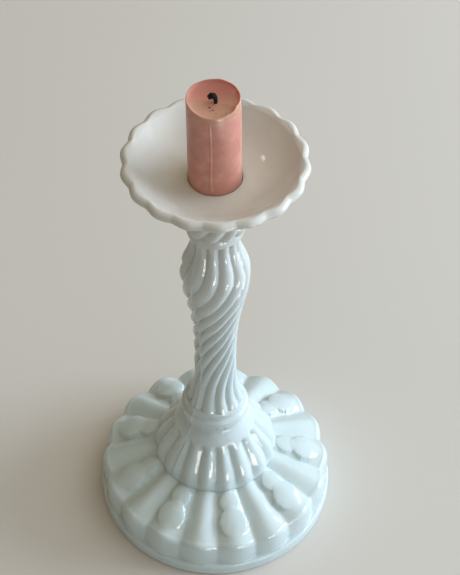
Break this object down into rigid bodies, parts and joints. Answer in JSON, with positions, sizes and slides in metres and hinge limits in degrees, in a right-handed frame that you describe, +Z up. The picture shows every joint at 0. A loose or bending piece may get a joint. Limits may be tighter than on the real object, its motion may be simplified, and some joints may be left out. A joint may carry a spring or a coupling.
{
  "type": "glass candlestick",
  "caption": "Pressed milk-glass candlestick: petal foot, gadrooned dome, twisted fluted stem, scalloped drip pan with a socket, and a candle stub that lifts out.",
  "frame": {"origin": "on the table under the middle of the foot", "axes": "+Z up the candlestick's axis; -Y is the front, with a notch between two petals just beside it"},
  "size_m": [0.1128, 0.1128, 0.26],
  "materials": {
    "milk_glass": "opaque glossy white milk glass, fire polished",
    "candle_wax": "satin pink candle wax",
    "charred_wick": "braided cotton, burnt black"
  },
  "bodies": {
    "candlestick": {"petal_foot": "milk_glass", "gadroon_dome": "milk_glass", "collar_ring": "milk_glass", "twist_stem": "milk_glass", "neck_ring": "milk_glass", "drip_pan": "milk_glass"},
    "candle": {"candle": "candle_wax", "wick": "charred_wick"}
  },
  "joints": [
    {"name": "candle_lift", "type": "slide", "parent": "candlestick", "child": "candle", "axis": [0, 0, 1], "range_m": [0, 0.045]}
  ]
}
